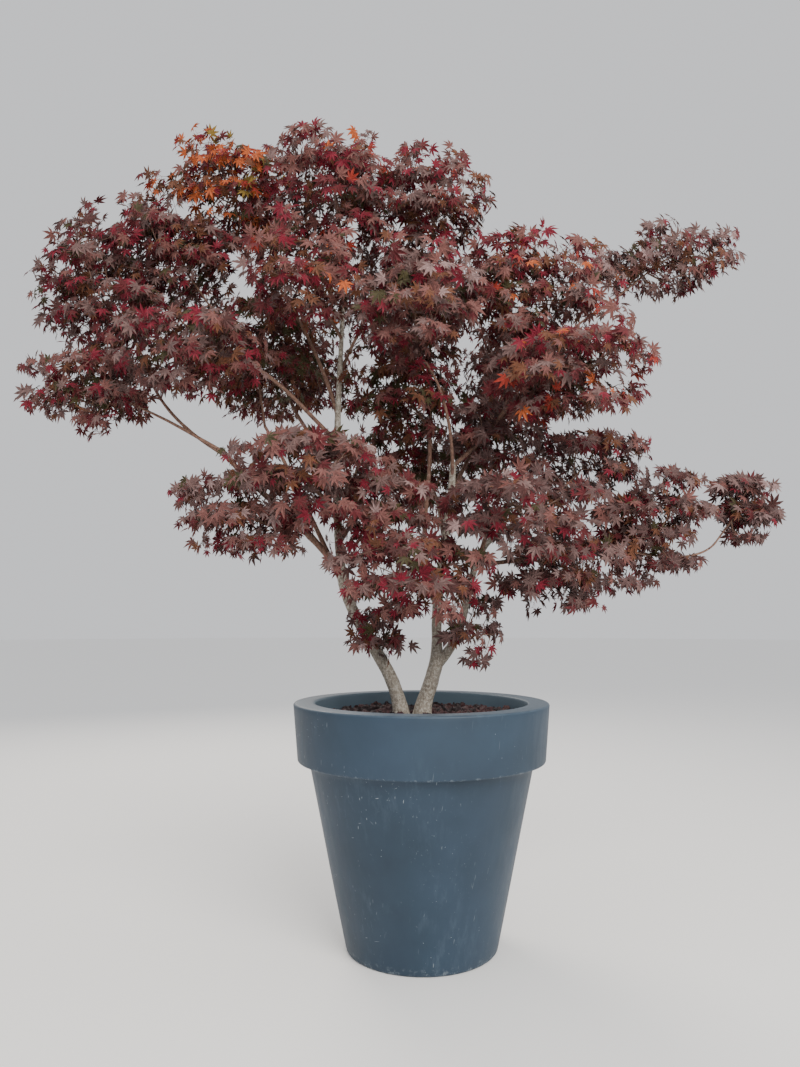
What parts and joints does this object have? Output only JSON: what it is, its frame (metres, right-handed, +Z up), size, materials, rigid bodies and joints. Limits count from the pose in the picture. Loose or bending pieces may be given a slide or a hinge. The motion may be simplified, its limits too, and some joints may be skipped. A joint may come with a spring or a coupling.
{
  "type": "potted japanese maple tree",
  "caption": "Young japanese maple in autumn leaf, slender forked stems and an open spreading crown, growing from soil in a tall round tapered planter with a deep band at its rim.",
  "frame": {"origin": "centre of the pot's flat underside, on the ground", "axes": "+Z up, +X to the right of someone who faces the tree, +Y away from them"},
  "size_m": [3.5589, 1.9545, 3.8564],
  "materials": {
    "pot_plastic": "blue-grey moulded plastic, matte, with fine pale scratches and scuffs",
    "soil": "dark reddish-brown lumps of mulch over soil, dry and rough",
    "pale_bark": "smooth pale grey-beige bark with whitish patches",
    "young_bark": "smooth reddish-brown young bark",
    "leaf_mauve": "thin matte leaf, greyish mauve",
    "leaf_purple": "thin matte leaf, dark purple",
    "leaf_crimson": "thin matte leaf, crimson",
    "leaf_orange": "thin matte leaf, orange-red",
    "leaf_bronze": "thin matte leaf, bronze brown"
  },
  "bodies": {
    "root": {"pot": "pot_plastic", "soil": "soil", "stem_left": "pale_bark", "stem_right": "pale_bark", "leader_left": "pale_bark", "leader_right": "pale_bark", "bough_right": "pale_bark", "bough_left_long": "young_bark", "bough_left_arm": "young_bark", "bough_left_low": "young_bark", "bough_left_inner": "young_bark", "bough_left_high": "young_bark", "bough_left_upper": "young_bark", "bough_top_left": "young_bark", "bough_right_high": "young_bark", "bough_right_upper": "young_bark", "bough_wing": "young_bark", "bough_centre": "young_bark", "bough_top_right": "young_bark", "bough_inner_right": "young_bark", "bough_right_mid": "young_bark", "bough_right_low": "young_bark", "bough_far_right": "young_bark", "bough_far_tip": "young_bark", "bough_back_left": "young_bark", "bough_back_right": "young_bark", "bough_back_top": "young_bark", "bough_front_left": "young_bark", "bough_front": "young_bark", "bough_front_right": "young_bark", "foliage_left_tip": "leaf_purple", "foliage_left_high": "leaf_purple", "foliage_left_mid": "leaf_purple", "foliage_left_low": "leaf_mauve", "foliage_lower_left": "leaf_mauve", "foliage_inner_left": "leaf_bronze", "foliage_top_left": "leaf_orange", "foliage_top": "leaf_crimson", "foliage_upper": "leaf_orange", "foliage_top_right": "leaf_crimson", "foliage_centre_high": "leaf_mauve", "foliage_centre": "leaf_bronze", "foliage_right_high": "leaf_orange", "foliage_right_wing": "leaf_mauve", "foliage_right_mid": "leaf_crimson", "foliage_centre_right": "leaf_mauve", "foliage_right_inner": "leaf_mauve", "foliage_right_front": "leaf_mauve", "foliage_right_low": "leaf_mauve", "foliage_far_right": "leaf_mauve", "foliage_far_tip": "leaf_mauve", "foliage_front_left": "leaf_mauve", "foliage_front_low": "leaf_crimson", "foliage_low_mid": "leaf_mauve", "foliage_sprig_left": "leaf_mauve", "foliage_sprig_right": "leaf_mauve", "foliage_back_left": "leaf_bronze", "foliage_back_right": "leaf_mauve", "foliage_back_top": "leaf_mauve", "foliage_back_low": "leaf_bronze"}
  },
  "joints": []
}
